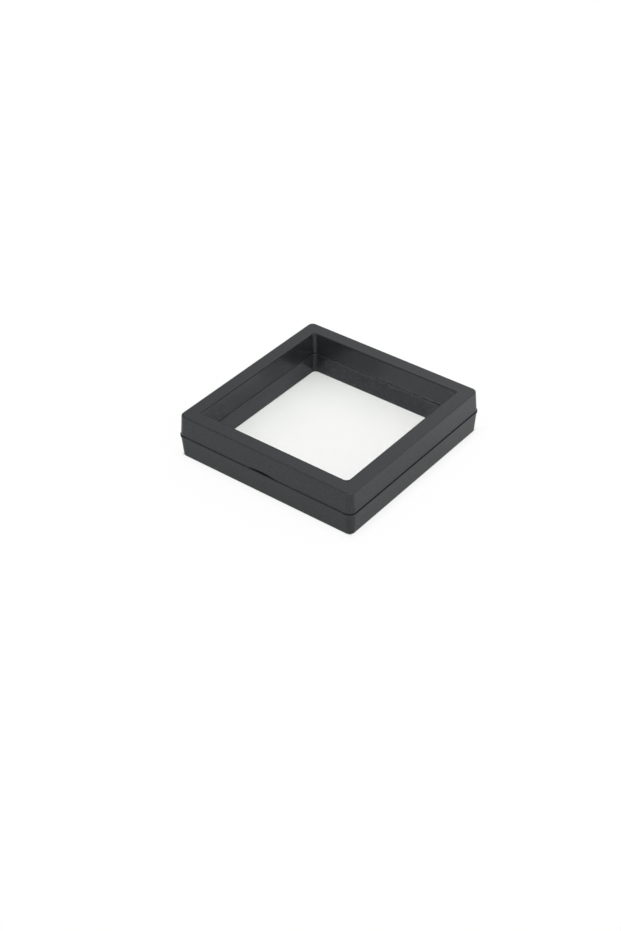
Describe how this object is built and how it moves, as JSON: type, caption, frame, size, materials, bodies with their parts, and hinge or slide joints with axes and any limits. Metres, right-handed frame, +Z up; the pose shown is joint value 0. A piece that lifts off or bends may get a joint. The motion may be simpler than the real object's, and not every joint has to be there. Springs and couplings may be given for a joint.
{
  "type": "jewelry display box",
  "caption": "Square black see-through display box of hinged half frames, with a clear film stretched across each window to hold a small item between them.",
  "frame": {"origin": "centre of the square frame on the surface the box stands on", "axes": "+Z up through the lid's window, +Y towards the hinge side, -Y towards the side with the finger notch, +X to the right of somebody facing the notch"},
  "size_m": [0.09, 0.0912, 0.02],
  "materials": {
    "frame_plastic": "fine satin black",
    "ring_plastic": "plain black",
    "clear_film": "clear, glossy, faintly hazy",
    "pin_steel": "drawn wire"
  },
  "bodies": {
    "base": {"lower_frame": "frame_plastic", "lower_film": "clear_film", "lower_film_ring": "ring_plastic", "hinge_pin_left": "pin_steel", "hinge_pin_right": "pin_steel"},
    "lid": {"upper_frame": "frame_plastic", "upper_film": "clear_film", "upper_film_ring": "ring_plastic"}
  },
  "joints": [
    {"name": "lid_hinge", "type": "hinge", "parent": "base", "child": "lid", "pos_m": [0, 0.0452, 0.01], "axis": [-1, 0, 0], "range_deg": [0, 180]}
  ]
}
